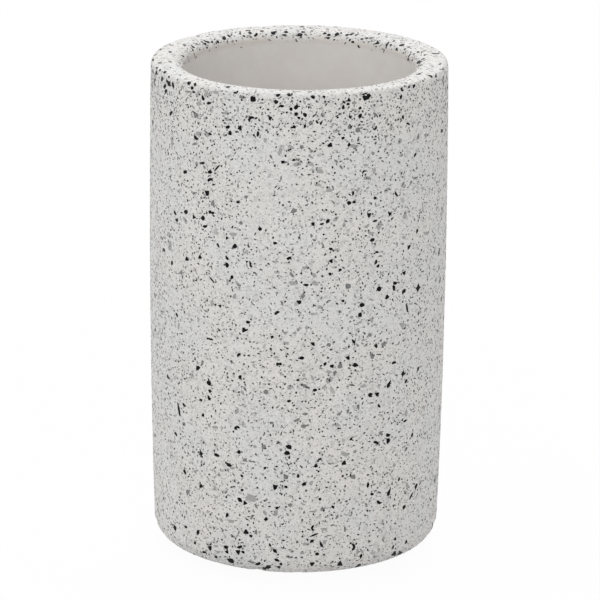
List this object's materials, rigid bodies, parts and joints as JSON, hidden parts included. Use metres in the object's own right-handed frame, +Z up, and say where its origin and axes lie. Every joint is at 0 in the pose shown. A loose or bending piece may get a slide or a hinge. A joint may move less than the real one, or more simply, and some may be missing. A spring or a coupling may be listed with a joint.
{
  "type": "toothbrush holder",
  "caption": "Round open terrazzo tumbler for toothbrushes: a thick wall that swells slightly, a flat rim with a soft lip, a rounded base and stick-on feet.",
  "frame": {"origin": "on the tumbler's axis, on the surface that its feet stand on", "axes": "+Z up along the tumbler's axis, -Y towards the front; the body is round, so front is only a convention"},
  "size_m": [0.071, 0.071, 0.12],
  "materials": {
    "terrazzo": "matte",
    "foot": "satin"
  },
  "bodies": {
    "root": {"tumbler_body": "terrazzo", "foot_front_left": "foot", "foot_front_right": "foot", "foot_back_left": "foot", "foot_back_right": "foot"}
  },
  "joints": []
}
